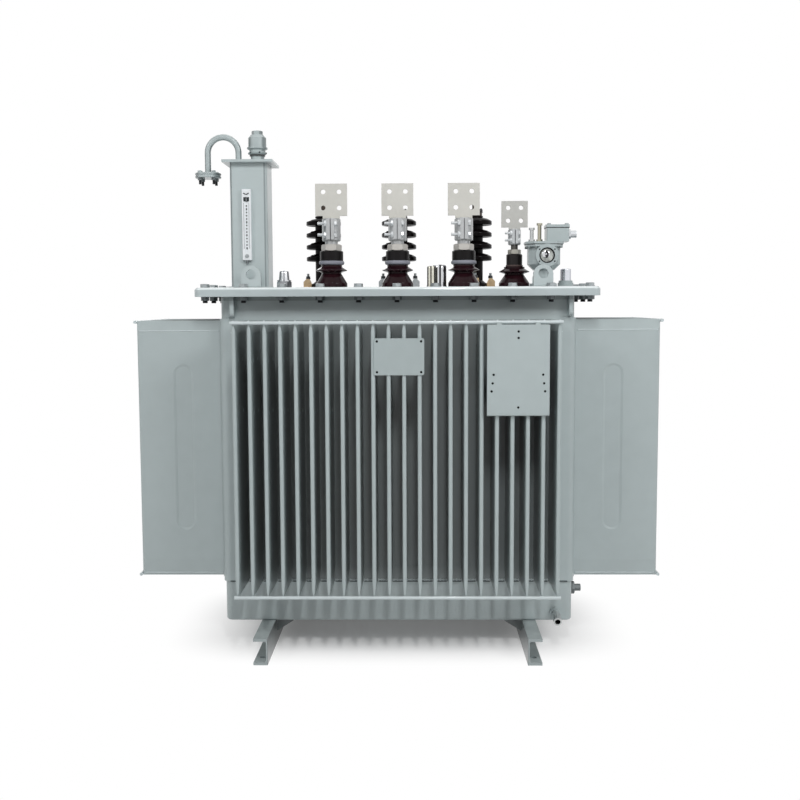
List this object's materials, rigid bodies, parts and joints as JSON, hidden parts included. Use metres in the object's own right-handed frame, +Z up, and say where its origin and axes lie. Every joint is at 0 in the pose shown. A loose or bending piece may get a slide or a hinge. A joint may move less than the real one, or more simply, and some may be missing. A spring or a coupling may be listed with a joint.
{
  "type": "oil-filled power transformer",
  "caption": "Oil-filled distribution power transformer with a corrugated fin tank on base channels, a bolted lid with porcelain bushings, a conservator column, a gas relay and lifting lugs.",
  "frame": {"origin": "on the ground plane, in the middle of the four foot holes of the base channels", "axes": "+X to the right along the tank as seen from the low-voltage side, +Y from that front side to the back, +Z up"},
  "size_m": [1.65, 0.966, 1.61],
  "materials": {
    "paint": "semi-gloss grey enamel",
    "porcelain": "dark brown gloss glaze",
    "seal": "black, with a grey sealing ring under the cap",
    "tinned": "tin-plated, satin",
    "brass": "plain, slightly dull",
    "clamp": "yellow zinc plated",
    "chrome": "bright plated",
    "gauge": "white face with plain marks",
    "glass": "clear",
    "plug": "dark oiled"
  },
  "bodies": {
    "root": {"back_fin_rods": "paint", "back_fin_wall": "paint", "base_channel_left": "paint", "base_channel_right": "paint", "breather_cover": "paint", "breather_pipe": "paint", "conservator_column": "paint", "drain_plug": "plug", "drain_valve": "paint", "filler_cap_left": "chrome", "filler_cap_right": "chrome", "front_fin_rods": "paint", "front_fin_wall": "paint", "hv_clamp_a": "clamp", "hv_clamp_b": "clamp", "hv_clamp_c": "clamp", "hv_porcelain_a": "porcelain", "hv_porcelain_b": "porcelain", "hv_porcelain_c": "porcelain", "hv_terminal_a": "brass", "hv_terminal_b": "brass", "hv_terminal_c": "brass", "large_plate": "paint", "left_fin_rods": "paint", "left_fin_wall": "paint", "level_gauge": "gauge", "lid": "paint", "lifting_lug_back_left": "paint", "lifting_lug_back_right": "paint", "lifting_lug_front_left": "paint", "lifting_lug_front_right": "paint", "lv_porcelain_a": "porcelain", "lv_porcelain_b": "porcelain", "lv_porcelain_c": "porcelain", "lv_seal_a": "seal", "lv_seal_b": "seal", "lv_seal_c": "seal", "lv_terminal_a": "tinned", "lv_terminal_b": "tinned", "lv_terminal_c": "tinned", "neutral_porcelain": "porcelain", "neutral_seal": "seal", "neutral_terminal": "tinned", "relay_base": "paint", "relay_body": "paint", "relay_cover": "paint", "relay_sight_glass": "glass", "relay_terminal_box": "paint", "relief_valve": "paint", "right_fin_rods": "paint", "right_fin_wall": "paint", "small_plate": "paint", "tank_body": "paint", "tank_lower_box": "paint", "tank_neck": "paint", "thermometer_pocket": "chrome", "thermostat_cap": "chrome"}
  },
  "joints": []
}
